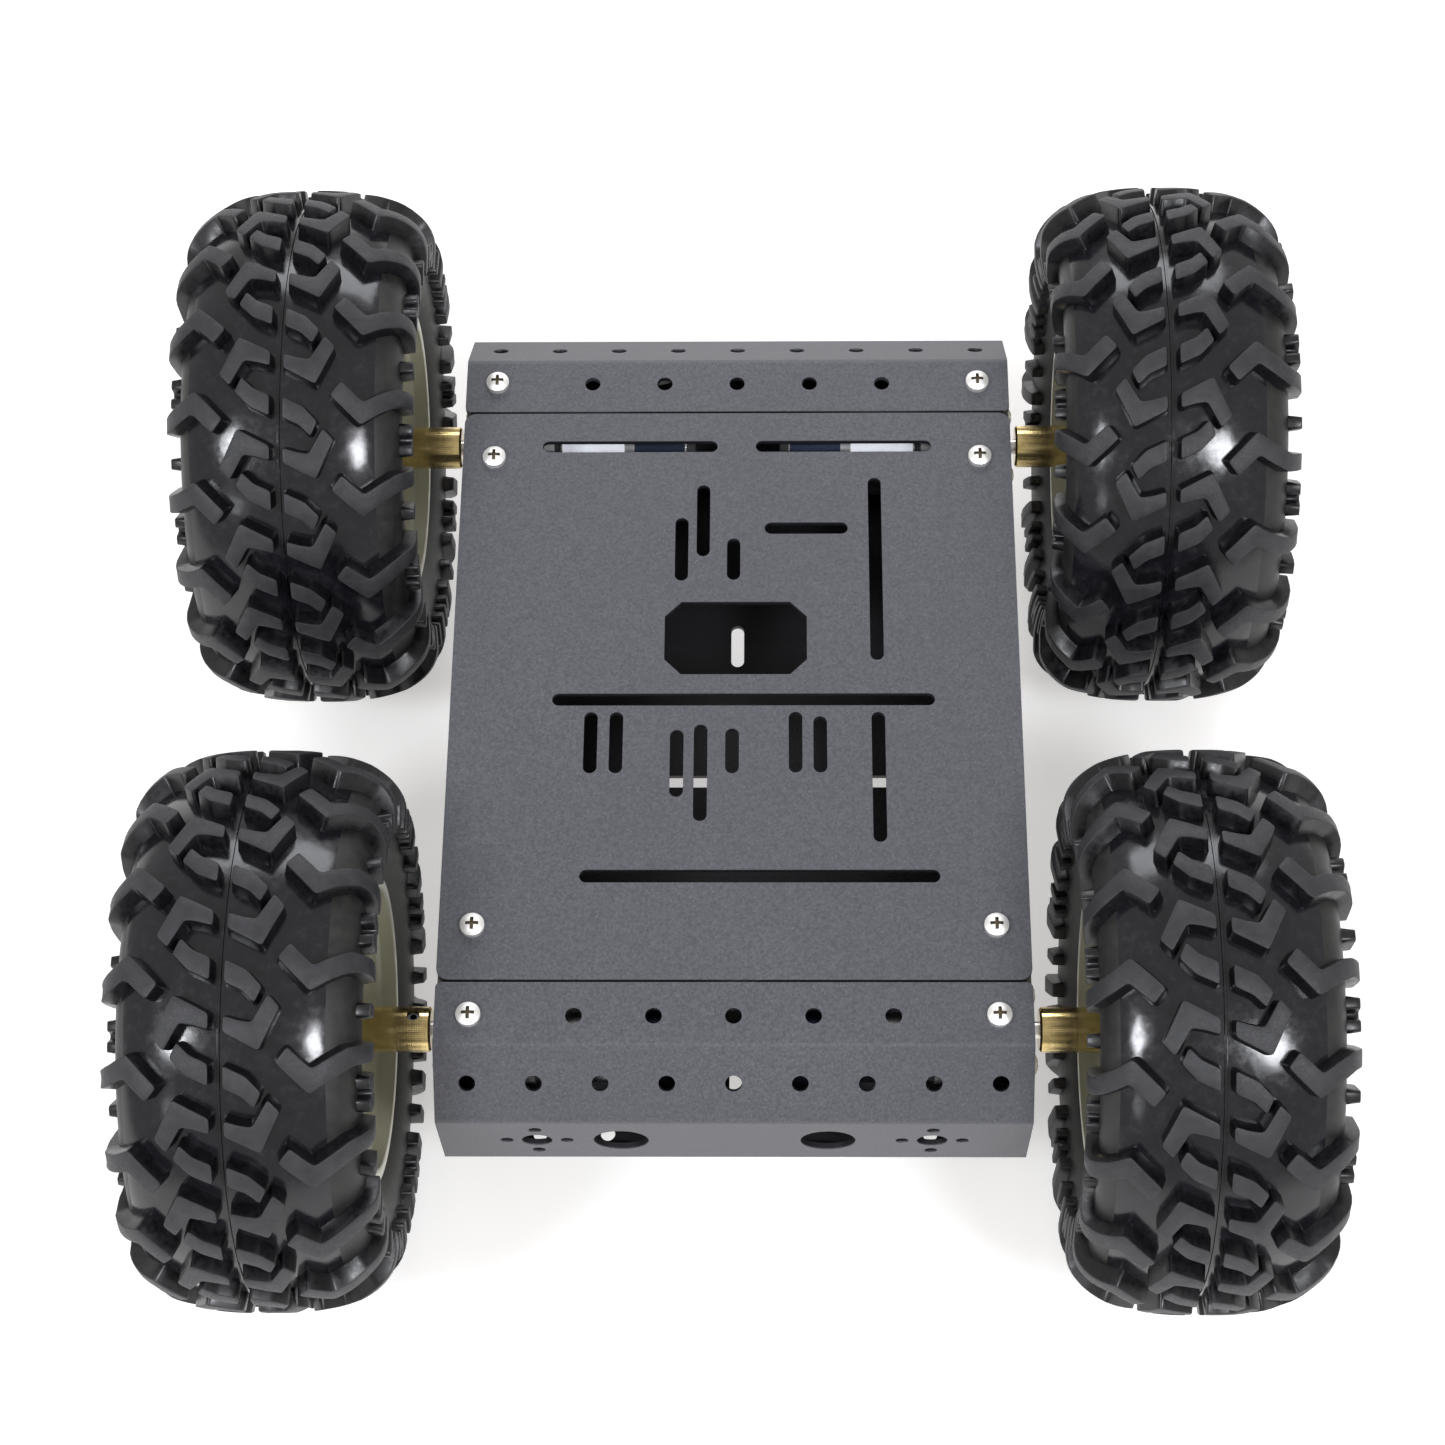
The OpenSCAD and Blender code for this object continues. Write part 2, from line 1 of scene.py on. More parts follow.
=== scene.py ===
"""Looks of the four wheel robot chassis: materials, treaded tyres, floor, lights and camera."""

import json
import math

import bmesh
import bpy
import numpy as np
from mathutils import Matrix, Vector
from mathutils.geometry import delaunay_2d_cdt


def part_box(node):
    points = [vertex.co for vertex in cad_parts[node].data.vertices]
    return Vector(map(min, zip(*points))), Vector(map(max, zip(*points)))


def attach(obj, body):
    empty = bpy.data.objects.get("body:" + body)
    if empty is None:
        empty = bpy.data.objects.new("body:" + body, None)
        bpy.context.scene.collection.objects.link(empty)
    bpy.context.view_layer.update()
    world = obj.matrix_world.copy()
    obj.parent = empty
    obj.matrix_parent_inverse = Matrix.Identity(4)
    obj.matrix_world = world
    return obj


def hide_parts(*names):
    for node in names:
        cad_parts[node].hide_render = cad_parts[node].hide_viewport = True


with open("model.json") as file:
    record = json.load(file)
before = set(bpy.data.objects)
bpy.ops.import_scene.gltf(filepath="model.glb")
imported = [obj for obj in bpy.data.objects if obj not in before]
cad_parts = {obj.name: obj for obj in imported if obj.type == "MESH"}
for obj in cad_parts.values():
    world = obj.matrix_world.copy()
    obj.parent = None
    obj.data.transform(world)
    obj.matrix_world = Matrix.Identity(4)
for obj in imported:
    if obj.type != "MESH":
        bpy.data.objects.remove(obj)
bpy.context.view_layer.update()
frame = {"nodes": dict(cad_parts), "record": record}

MM = 0.001
# All lengths below are in mm, in the frame.
# The closed body: inside of its side walls, its end faces, its top, and inside of its bottom
WALL_IN, FACE_OUT, TOP_OUT, BOTTOM_IN = 66.2, 105.0, 87.0, 51.8
# The end covers' slope: its tilt, and how far its outer side lies from the frame's origin
SLOPE_SIN, SLOPE_COS, SLOPE_OUTER = 0.658, 0.753, 125.26
# The painted shade inside the body and in the holes starts this far below the outer side
SHADE_EDGE = 0.25
# Deck screws: their place across, and along for the top plate's and the end covers'
SCREW_X, PLATE_SCREW_Y, COVER_SCREW_Y = 59.7, 62.3, 84.0
# The axles' distance from the middle of the body, front and rear, and their height
AXLE_Y, AXLE_Z = 79.0, 65.0
# A motor's label: where its band starts and ends, inward from the can's outer end, and how far
# from the axle's height it begins
LABEL_START, LABEL_END, LABEL_LOW = 16.4, 0.8, 6.9
# The painted shade inside a rim's barrel: its radius, and where it ends along the axle
BARREL_R, BARREL_END = 32.6, 97.0
# The corner names that start the nodes' names, with the body of each wheel
BODY_OF = {"fl": "front_left_wheel", "fr": "front_right_wheel",
           "rl": "rear_left_wheel", "rr": "rear_right_wheel"}

# ---------------------------------------------------------------- camera

CAM_PLACE = Vector((9.7, -329.0, 726.5)) * MM
CAM_YAW = -2.28
CAM_PITCH = 63.5
CAM_ROLL = -2.1
CAM_LENS = 75.6


def make_camera():
    """A camera above the front end, looking down and to the rear."""
    yaw, pitch, roll = (math.radians(v) for v in (CAM_YAW, CAM_PITCH, CAM_ROLL))
    ahead = Vector((math.sin(yaw) * math.cos(pitch), math.cos(yaw) * math.cos(pitch),
                    -math.sin(pitch)))
    right = Vector((math.cos(yaw), -math.sin(yaw), 0.0))
    up = right.cross(ahead)
    side = math.cos(roll) * right + math.sin(roll) * up
    head = -math.sin(roll) * right + math.cos(roll) * up
    turn = Matrix((side, head, -ahead)).transposed().to_4x4()
    data = bpy.data.cameras.new("camera")
    data.lens = CAM_LENS
    data.sensor_width = 36.0
    data.clip_start = 0.01
    data.clip_end = 30.0
    camera = bpy.data.objects.new("camera", data)
    bpy.context.scene.collection.objects.link(camera)
    camera.matrix_world = Matrix.Translation(CAM_PLACE) @ turn
    bpy.context.scene.camera = camera


make_camera()

# ---------------------------------------------------------------- materials


class Maker:
    """A node material with short calls for the nodes that the materials below share."""

    def __init__(self, name, **values):
        self.material = bpy.data.materials.new(name)
        self.material.use_nodes = True
        self.nodes = self.material.node_tree.nodes
        self.links = self.material.node_tree.links
        self.shader = self.nodes["Principled BSDF"]
        self.coords = self.nodes.new("ShaderNodeTexCoord").outputs["Object"]
        for key, value in values.items():
            self.shader.inputs[key.replace("_", " ")].default_value = value

    def scaled(self, scale):
        """Object coordinates stretched by a factor for each axis."""
        node = self.nodes.new("ShaderNodeMapping")
        node.inputs["Scale"].default_value = scale
        self.links.new(self.coords, node.inputs["Vector"])
        return node.outputs["Vector"]

    def noise(self, scale, detail=2.0, rough=0.5, vector=None):
        node = self.nodes.new("ShaderNodeTexNoise")
        node.inputs["Scale"].default_value = scale
        node.inputs["Detail"].default_value = detail
        node.inputs["Roughness"].default_value = rough
        self.links.new(vector or self.coords, node.inputs["Vector"])
        return node.outputs["Fac"]

    def cells(self, scale):
        node = self.nodes.new("ShaderNodeTexVoronoi")
        node.inputs["Scale"].default_value = scale
        self.links.new(self.coords, node.inputs["Vector"])
        return node.outputs["Distance"]

    def ramp(self, value, low, high, out_low=0.0, out_high=1.0):
        node = self.nodes.new("ShaderNodeMapRange")
        node.inputs["From Min"].default_value = low
        node.inputs["From Max"].default_value = high
        node.inputs["To Min"].default_value = out_low
        node.inputs["To Max"].default_value = out_high
        self.links.new(value, node.inputs["Value"])
        return node.outputs["Result"]

    def mix(self, factor, first, second):
        node = self.nodes.new("ShaderNodeMix")
        node.data_type = "RGBA"
        for key, value in (("A", first), ("B", second)):
            socket = [s for s in node.inputs if s.name == key and s.type == "RGBA"][0]
            if isinstance(value, tuple):
                socket.default_value = (*value, 1.0)
            else:
                self.links.new(value, socket)
        self.links.new(factor, node.inputs["Factor"])
        return [s for s in node.outputs if s.type == "RGBA"][0]

    def bump(self, height, distance, strength):
        node = self.nodes.new("ShaderNodeBump")
        node.inputs["Distance"].default_value = distance
        node.inputs["Strength"].default_value = strength
        self.links.new(height, node.inputs["Height"])
        return node.outputs["Normal"]

    def set(self, name, output):
        self.links.new(output, self.shader.inputs[name])

    def xyz(self):
        """The X, Y and Z of the object coordinates."""
        node = self.nodes.new("ShaderNodeSeparateXYZ")
        self.links.new(self.coords, node.inputs["Vector"])
        return node.outputs


def math_node(m, operation, first, second=None):
    """A math node on one or two outputs; a number may stand for the second."""
    node = m.nodes.new("ShaderNodeMath")
    node.operation = operation
    m.links.new(first, node.inputs[0])
    if isinstance(second, float):
        node.inputs[1].default_value = second
    elif second is not None:
        m.links.new(second, node.inputs[1])
    return node.outputs["Value"]


def off(m, value, place):
    """Distance of a coordinate from a place in mm, either way."""
    return math_node(m, "ABSOLUTE", math_node(m, "SUBTRACT", value, place * MM))


def hypotenuse(m, first, second):
    """Length of two distances at right angles."""
    return math_node(m, "SQRT", math_node(m, "ADD", math_node(m, "MULTIPLY", first, first),
                                          math_node(m, "MULTIPLY", second, second)))


def shaded_inside(m):
    """One inside the closed body and on the walls of its holes, zero on its outside: where the
    coat gets its painted shade.
    """
    x, y, high = m.xyz()
    across, along = math_node(m, "ABSOLUTE", x), math_node(m, "ABSOLUTE", y)
    toward_slope = math_node(m, "ADD", math_node(m, "MULTIPLY", along, SLOPE_SIN),
                             math_node(m, "MULTIPLY", high, SLOPE_COS))
    share = m.ramp(high, BOTTOM_IN * MM, (BOTTOM_IN + 0.1) * MM)
    for value, edge in ((across, WALL_IN), (along, FACE_OUT - SHADE_EDGE),
                        (high, TOP_OUT - SHADE_EDGE), (toward_slope, SLOPE_OUTER - SHADE_EDGE)):
        share = math_node(m, "MULTIPLY", share,
                          m.ramp(value, (edge - 0.1) * MM, edge * MM, 1.0, 0.0))
    return share


def powder_coat():
    """Dark grey baked powder paint: a fine pebbled skin with paler and darker grains, and near
    black painted shade inside the body and in its holes.
    """
    m = Maker("powder_coat", Metallic=0.0)
    grain = m.noise(1500, 3.0, 0.6)
    speck = m.cells(1100)
    broad = m.noise(18, 2.0)
    base = m.mix(m.ramp(broad, 0.3, 0.7), (0.088, 0.090, 0.103), (0.100, 0.101, 0.114))
    dark = m.mix(m.ramp(grain, 0.35, 0.68), (0.058, 0.060, 0.070), base)
    pale = m.mix(m.ramp(speck, 0.16, 0.05, 0.0, 0.55), dark, (0.26, 0.265, 0.29))
    # Inside the body and on the walls of its holes the coat is painted near black, as painted
    # shade.
    m.set("Base Color", m.mix(shaded_inside(m), pale, (0.012, 0.012, 0.014)))
    m.set("Roughness", m.ramp(grain, 0.3, 0.7, 0.42, 0.58))
    m.set("Normal", m.bump(m.noise(1150, 2.5, 0.55), 0.00012, 0.55))
    return m.material


def plated_steel(name, color, rough, streak):
    """Plated steel with fine drawn lines along X and faint stains."""
    m = Maker(name, Metallic=1.0)
    lines = m.noise(1.0, 3.0, 0.6, m.scaled(streak))
    stain = m.noise(160, 3.0, 0.6)
    shade = tuple(c * 0.85 for c in color)
    m.set("Base Color", m.mix(m.ramp(stain, 0.35, 0.7), color, shade))
    m.set("Roughness", m.ramp(lines, 0.3, 0.7, rough * 0.8, rough * 1.35))
    m.set("Normal", m.bump(lines, 0.00001, 0.4))
    return m.material


def screw_plating():
    """Bright nickel on the screws, with painted shade in the cross recesses of the deck screws.
    """
    m = Maker("screw_plating", Metallic=0.8)
    x, y, high = m.xyz()
    across, along = math_node(m, "ABSOLUTE", x), math_node(m, "ABSOLUTE", y)
    nearest = math_node(m, "MINIMUM", off(m, along, PLATE_SCREW_Y), off(m, along, COVER_SCREW_Y))
    away = hypotenuse(m, off(m, across, SCREW_X), nearest)
    low = m.ramp(high, (TOP_OUT + 1.9) * MM, (TOP_OUT + 2.0) * MM, 1.0, 0.0)
    # Brown-black painted shade in the cross recesses of the deck screws.
    recess_shade = math_node(m, "MULTIPLY", low, m.ramp(away, 1.5 * MM, 1.6 * MM, 1.0, 0.0))
    stain = m.noise(90, 2.0, 0.5)
    unshaded = m.mix(m.ramp(stain, 0.35, 0.7), (0.95, 0.94, 0.91), (0.88, 0.87, 0.84))
    m.set("Base Color", m.mix(recess_shade, unshaded, (0.16, 0.13, 0.085)))
    m.set("Roughness", m.ramp(stain, 0.3, 0.7, 0.46, 0.56))
    return m.material


def turned_brass():
    """Brass bar with lathe lines round the axle, darker where it has dulled."""
    m = Maker("turned_brass", Metallic=1.0)
    lathe = m.noise(1.0, 2.0, 0.5, m.scaled((5200, 40, 40)))
    dulling_and_shade = m.noise(240, 4.0, 0.65)
    m.set("Base Color", m.mix(m.ramp(dulling_and_shade, 0.38, 0.72), (0.74, 0.58, 0.27), (0.56, 0.42, 0.17)))
    m.set("Roughness", m.ramp(dulling_and_shade, 0.3, 0.75, 0.10, 0.2))
    m.set("Normal", m.bump(lathe, 0.00002, 0.4))
    return m.material


def casing_rubber():
    """Moulded rubber between the lugs: black and glossy, with faint ripples and dust."""
    m = Maker("casing_rubber")
    m.shader.inputs["Specular IOR Level"].default_value = 0.5
    ripple = m.noise(95, 3.0, 0.55)
    dust = m.noise(420, 5.0, 0.7)
    m.set("Base Color", m.mix(m.ramp(dust, 0.5, 0.8), (0.0060, 0.0062, 0.0085),
                              (0.020, 0.020, 0.024)))
    m.set("Roughness", m.ramp(dust, 0.35, 0.8, 0.12, 0.26))
    m.set("Normal", m.bump(ripple, 0.0003, 0.3))
    return m.material


def lug_rubber():
    """Tops of the lugs: matt, slightly greyer rubber with a fine spark-eroded skin."""
    m = Maker("lug_rubber")
    skin = m.noise(1900, 3.0, 0.6)
    worn = m.noise(260, 4.0, 0.6)
    m.set("Base Color", m.mix(m.ramp(worn, 0.35, 0.75), (0.0150, 0.0152, 0.0180),
                              (0.030, 0.030, 0.034)))
    m.set("Roughness", m.ramp(skin, 0.3, 0.7, 0.47, 0.66))
    m.set("Normal", m.bump(skin, 0.00009, 0.7))
    return m.material


def flank_rubber():
    """Sides of the lugs: smoother than the tops, less glossy than the casing."""
    m = Maker("flank_rubber")
    skin = m.noise(800, 3.0, 0.6)
    m.set("Base Color", m.mix(m.ramp(skin, 0.4, 0.8), (0.0035, 0.0035, 0.0045),
                              (0.009, 0.009, 0.011)))
    m.set("Roughness", m.ramp(skin, 0.3, 0.7, 0.26, 0.42))
    m.set("Normal", m.bump(skin, 0.00005, 0.4))
    return m.material


def wall_rubber():
    """Side wall of the tyre: matt and slightly brown, with fine rings of dust."""
    m = Maker("wall_rubber")
    dust = m.noise(350, 4.0, 0.65)
    m.set("Base Color", m.mix(m.ramp(dust, 0.4, 0.8), (0.0085, 0.0080, 0.0075),
                              (0.024, 0.023, 0.021)))
    m.set("Roughness", m.ramp(dust, 0.3, 0.8, 0.42, 0.6))
    m.set("Normal", m.bump(dust, 0.0001, 0.4))
    return m.material


def moulded_plastic(name, light, dark, rough):
    """Moulded plastic: a satin skin with very slight flow marks."""
    m = Maker(name)
    flow = m.noise(35, 3.0, 0.6)
    skin = m.noise(1600, 2.0, 0.5)
    m.set("Base Color", m.mix(m.ramp(flow, 0.3, 0.75), light, dark))
    m.set("Roughness", m.ramp(flow, 0.3, 0.75, rough * 0.85, rough * 1.2))
    m.set("Normal", m.bump(skin, 0.00003, 0.4))
    return m.material


def open_foam():
    """Open cell foam: dark pits between pale ribs."""
    m = Maker("open_foam", Roughness=0.95)
    pores = m.cells(900)
    m.set("Base Color", m.mix(m.ramp(pores, 0.1, 0.6), (0.012, 0.012, 0.013),
                              (0.075, 0.075, 0.078)))
    m.set("Normal", m.bump(pores, 0.0006, 1.0))
    return m.material


def wound_copper():
    """Lacquered wire between dark steel laminations."""
    m = Maker("wound_copper", Metallic=0.85, Roughness=0.35)
    turns = m.noise(1.0, 1.0, 0.5, m.scaled((2600, 60, 60)))
    m.set("Base Color", m.mix(m.ramp(turns, 0.4, 0.6), (0.50, 0.22, 0.085),
                              (0.20, 0.11, 0.06)))
    m.set("Normal", m.bump(turns, 0.0001, 0.8))
    return m.material


def motor_shell(band_in, band_out):
    """Plated can with a plain white label: on top of the rear motors, below the front ones; the
    label glows faintly as painted light.
    """
    m = Maker("motor_shell")
    x, y, high = m.xyz()
    across = math_node(m, "ABSOLUTE", x)
    rise = m.ramp(across, band_in, band_in + 0.2 * MM)
    fall = m.ramp(across, band_out, band_out + 0.2 * MM, 1.0, 0.0)
    above = math_node(m, "SUBTRACT", high, AXLE_Z * MM)
    faced = math_node(m, "MULTIPLY", above, math_node(m, "SIGN", y))
    paper = math_node(m, "MULTIPLY", math_node(m, "MULTIPLY", rise, fall),
                      m.ramp(faced, LABEL_LOW * MM, (LABEL_LOW + 0.1) * MM))
    grime_and_glow = m.noise(300, 3.0, 0.6)
    metal = m.mix(m.ramp(grime_and_glow, 0.35, 0.7), (0.55, 0.55, 0.56), (0.33, 0.33, 0.34))
    m.set("Base Color", m.mix(paper, metal, (0.80, 0.81, 0.84)))
    m.set("Metallic", m.ramp(paper, 0.0, 1.0, 1.0, 0.0))
    # The label's faint glow is painted light, which brightens the paper where the lamps leave it
    # dim.
    m.shader.inputs["Emission Color"].default_value = (0.86, 0.90, 1.0, 1.0)
    m.set("Emission Strength", math_node(m, "MULTIPLY", paper,
                                         m.ramp(grime_and_glow, 0.3, 0.7, 0.26, 0.40)))
    m.set("Roughness", m.ramp(paper, 0.0, 1.0, 0.28, 0.5))
    m.set("Normal", m.bump(grime_and_glow, 0.00003, 0.5))
    return m.material


def rim_plastic():
    """Off-white plastic, darker inside the barrel on the body's side, as painted shade."""
    m = Maker("rim_plastic")
    x, y, high = m.xyz()
    away = hypotenuse(m, off(m, math_node(m, "ABSOLUTE", y), AXLE_Y), off(m, high, AXLE_Z))
    # Painted shade inside the barrel on the body's side: one there, zero elsewhere.
    dulling_and_shade = math_node(m, "MULTIPLY",
                     m.ramp(away, BARREL_R * MM, (BARREL_R + 0.8) * MM, 1.0, 0.0),
                     m.ramp(math_node(m, "ABSOLUTE", x), BARREL_END * MM,
                            (BARREL_END + 1.5) * MM, 1.0, 0.0))
    flow = m.noise(35, 3.0, 0.6)
    unshaded = m.mix(m.ramp(flow, 0.3, 0.75), (0.70, 0.68, 0.59), (0.62, 0.60, 0.51))
    m.set("Base Color", m.mix(dulling_and_shade, unshaded, (0.30, 0.295, 0.215)))
    m.set("Roughness", m.ramp(flow, 0.3, 0.75, 0.30, 0.42))
    m.set("Normal", m.bump(m.noise(1600, 2.0, 0.5), 0.00003, 0.4))
    return m.material


LENGTHWISE = (30, 2400, 2400)
can_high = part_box("fr_motor_can")[1]
MATERIALS = {
    "coat": powder_coat(),
    "steel": plated_steel("plated_steel", (0.90, 0.89, 0.86), 0.26, (900, 900, 90)),
    "screws": screw_plating(),
    "black_steel": plated_steel("black_steel", (0.09, 0.09, 0.095), 0.38, LENGTHWISE),
    "brass": turned_brass(),
    "gearbox_metal": plated_steel("gearbox_metal", (0.70, 0.70, 0.69), 0.30, LENGTHWISE),
    "motor_metal": motor_shell(can_high.x - LABEL_START * MM, can_high.x - LABEL_END * MM),
    "dark_steel": plated_steel("dark_steel", (0.035, 0.045, 0.075), 0.3, LENGTHWISE),
    "foam": open_foam(),
    "rim_plastic": rim_plastic(),
    "black_plastic": moulded_plastic("black_plastic", (0.016, 0.016, 0.017),
                                     (0.024, 0.024, 0.025), 0.45),
    "ferrite": moulded_plastic("ferrite", (0.05, 0.05, 0.052), (0.07, 0.07, 0.072), 0.6),
    "copper": wound_copper(),
}
TYRE_SKINS = [casing_rubber(), flank_rubber(), lug_rubber(), wall_rubber()]
CASING, FLANK, TOP, WALL = range(4)

# ---------------------------------------------------------------- CAD pieces

EDGE_MM = {"base_tray": 0.25, "top_plate": 0.25, "front_cover": 0.25, "rear_cover": 0.25}
CORNER_EDGE_MM = {"rim": 0.6, "gearbox": 0.25, "motor_can": 0.3}


def soften(piece, width_mm):
    """Rounds a CAD piece's sharp edges a little, so that they catch the light."""
    weld = piece.modifiers.new("weld", "WELD")
    weld.merge_threshold = 0.001 * MM
    bevel = piece.modifiers.new("bevel", "BEVEL")
    bevel.width = width_mm * MM
    bevel.segments = 2
    bevel.limit_method = "ANGLE"
    bevel.angle_limit = math.radians(32)
    bevel.harden_normals = True
    piece.modifiers.new("normals", "WEIGHTED_NORMAL").keep_sharp = True


def dress_cad():
    """Gives each CAD node its material, and the seen ones soft edges."""
    slot_of = {s["node"]: s["material_slot"] for s in frame["record"]["subparts"]}
    for name, piece in frame["nodes"].items():
        look = MATERIALS.get("screws" if name.endswith("_screws") and slot_of[name] == "steel"
                             else slot_of[name])
        if look is None:
            continue
        piece.data.materials.clear()
        piece.data.materials.append(look)
        part = name[3:] if name[:2] in BODY_OF else name
        width = EDGE_MM.get(name) or CORNER_EDGE_MM.get(part)
        if width:
            soften(piece, width)


dress_cad()

# ---------------------------------------------------------------- tyres

# Pitches round the tread, the radius that they are measured at, and the length of one
PITCHES = 18
TREAD_R = 65.0
PITCH_LEN = 2 * math.pi * TREAD_R / PITCHES
# The left half of the tread is the right half turned by 180 degrees about a point of the
# seam; this is twice that point's place along the circumference
SWAP_AT = -21.5
# How far the wheel is turned at rest, as a share of one pitch, and how far the soft tyre's
# seam has crept sideways from the middle of the rim, in mm
PHASES = {"fl": 0.0, "fr": 0.96, "rl": 0.33, "rr": 0.85}
SEAM_CREEP = {"fl": -2.2, "fr": -1.0, "rl": -1.2, "rr": -2.4}
# Share of that creep by which the casing leans, and the radii where the lean starts and ends
LEAN, LEAN_LOW_R, LEAN_HIGH_R = 0.35, 38.0, 50.0
# The casing's cross-section: half its width, the radius where it is widest, its height above
# and below that radius, the exponents of its curve, and the angle where its side ends
CASING_HALF_W, CASING_MID_R, CASING_CROWN, CASING_SIDE = 26.3, 50.0, 10.7, 16.0
CROWN_SQUARENESS, SIDE_SQUARENESS = 2 / 2.35, 2 / 3.0
SIDE_END = -40.5
# How far from the seam the matt side wall starts, measured along the skin
WALL_FROM = 23.3
# Outer and inner radius of the beads, and the height of the rib along the seam
FLANGE_R, BEAD_R, SEAM_RIB = 36.4, 33.7, 0.4
# Outer limits of the lugs, their height on the crown and on the wall, and where it changes
TYRE_HALF_W, LUG_TOP_R = 29.85, 64.9
LUG_HEIGHTS, LUG_HEIGHTS_AT = (4.2, 2.7), (20.0, 34.0)
# A lug's foot lies this deep in the casing and is this much wider than its top; the top's
# corners are rounded in plan, and its edge is rounded off
LUG_SINK, DRAFT, CORNER_R, ROUND = 0.7, 0.6, 0.8, 0.26

# Outlines of the right half's lugs: across from the seam along the skin, and along the
# circumference, in mm, with the rear of the wheel's top at the positive end
HOOK = [(1.5, -20.6), (1.5, -24.1), (8.9, -28.1), (13.0, -18.7), (10.6, -15.9), (7.4, -22.0),
        (4.8, -21.6)]
BLOCK = [(1.5, -8.5), (1.5, -13.4), (5.3, -15.2), (7.9, -17.9), (9.4, -14.4), (6.2, -10.8)]
SHOULDER = [(14.5, -27.2), (19.2, -32.1), (22.6, -29.8), (26.4, -27.6), (36.6, -27.2),
            (36.6, -32.2), (27.2, -32.2), (22.6, -34.9), (18.7, -37.8), (12.1, -30.6)]
NUB = [(31.0, -16.6), (36.4, -16.6), (36.4, -20.2), (31.0, -20.2)]
BONE = [(31.0, -13.6), (36.4, -13.6), (36.4, -16.8), (34.6, -17.5), (34.6, -19.3),
        (36.4, -20.0), (36.4, -23.2), (31.0, -23.2), (31.0, -20.0), (32.8, -19.3),
        (32.8, -17.5), (31.0, -16.8)]
# Each outline with the pitches that have it: 0 for even ones, 1 for odd ones
LUGS = [(HOOK, (0, 1)), (BLOCK, (0, 1)), (SHOULDER, (0, 1)), (NUB, (0,)), (BONE, (1,))]


def casing_point(t):
    """Point of the casing's cross-section at angle t: 90 degrees is the equator."""
    c, s = math.cos(t), math.sin(t)
    reach, power = ((CASING_CROWN, CROWN_SQUARENESS) if s > 0 else
                    (CASING_SIDE, SIDE_SQUARENESS))
    across = CASING_HALF_W * math.copysign(abs(c) ** power, c)
    return across, CASING_MID_R + reach * math.copysign(abs(s) ** power, s)


class Profile:
    """The right half of the casing's skin, read by arc length from the equator."""

    def __init__(self, steps=600):
        low = math.radians(SIDE_END)
        ts = np.linspace(math.pi / 2, low, steps)
        pts = np.array([casing_point(t) for t in ts])
        pts[0] = (0.0, CASING_MID_R + CASING_CROWN)
        step = np.linalg.norm(np.diff(pts, axis=0), axis=1)
        self.s = np.concatenate([[0.0], np.cumsum(step)])
        self.pts = pts
        tangent = np.gradient(pts, self.s, axis=0)
        tangent /= np.linalg.norm(tangent, axis=1)[:, None]
        self.normals = np.column_stack([-tangent[:, 1], tangent[:, 0]])
        self.normals[0] = (0.0, 1.0)

    def read(self, s):
        """Across, radius and the outward normal at signed arc lengths s."""
        size = np.abs(s)
        sign = np.where(s < 0, -1.0, 1.0)
        values = [np.interp(size, self.s, column)
                  for column in (*self.pts.T, *self.normals.T)]
        return sign * values[0], values[1], sign * values[2], values[3]


PROFILE = Profile()


def leaned(w, r, seam):
    """Offsets along the axle of a casing that leans towards its crept seam."""
    return w + LEAN * seam * np.clip((r - LEAN_LOW_R) / (LEAN_HIGH_R - LEAN_LOW_R), 0, 1)


def lug_height(s, seam):
    """Lug height: tall on the crown, lower on the wall, and inside the outer size."""
    across, radius, n_across, n_radius = PROFILE.read(s)
    room = TYRE_HALF_W - np.abs(leaned(across, radius, seam))
    limit = np.minimum((LUG_TOP_R - radius) / np.maximum(n_radius, 0.2),
                       room / np.maximum(np.abs(n_across), 0.2))
    return np.minimum(limit, np.interp(np.abs(s), LUG_HEIGHTS_AT, LUG_HEIGHTS))


def rounded(outline, radius, arc_steps=3, spacing=1.3):
    """A closed outline with its corners rounded and its long edges divided."""
    pts = [np.array(p, float) for p in outline]
    result = []
    for i, here in enumerate(pts):
        before, after = pts[i - 1], pts[(i + 1) % len(pts)]
        to_before, to_after = before - here, after - here
        reach = min(radius, np.linalg.norm(to_before) / 2.5, np.linalg.norm(to_after) / 2.5)
        start = here + to_before / np.linalg.norm(to_before) * reach
        end = here + to_after / np.linalg.norm(to_after) * reach
        for k in range(arc_steps + 1):
            u = k / arc_steps
            result.append((1 - u) ** 2 * start + 2 * u * (1 - u) * here + u * u * end)
    dense = []
    for i, here in enumerate(result):
        after = result[(i + 1) % len(result)]
        count = max(1, round(float(np.linalg.norm(after - here)) / spacing))
        dense += [here + (after - here) * k / count for k in range(count)]
    return np.array(dense)


def grown(loop, distance):
    """The loop moved outward by a distance, in its own plane."""
    ahead = np.roll(loop, -1, 0) - np.roll(loop, 1, 0)
    ahead /= np.linalg.norm(ahead, axis=1)[:, None]
    area = np.sum(loop[:, 0] * np.roll(loop[:, 1], -1) - np.roll(loop[:, 0], -1) * loop[:, 1])
    out = np.column_stack([ahead[:, 1], -ahead[:, 0]]) * math.copysign(1.0, area)
    return loop + out * distance


def inside(points, loop):
    """Which points lie inside the closed loop."""
    x, y = points[:, :1], points[:, 1:]
    x1, y1 = loop.T
    x2, y2 = np.roll(loop, -1, 0).T
    crosses = ((y1 > y) != (y2 > y)) & (x < (x2 - x1) * (y - y1) / (y2 - y1 + 1e-12) + x1)
    return crosses.sum(1) % 2 == 1


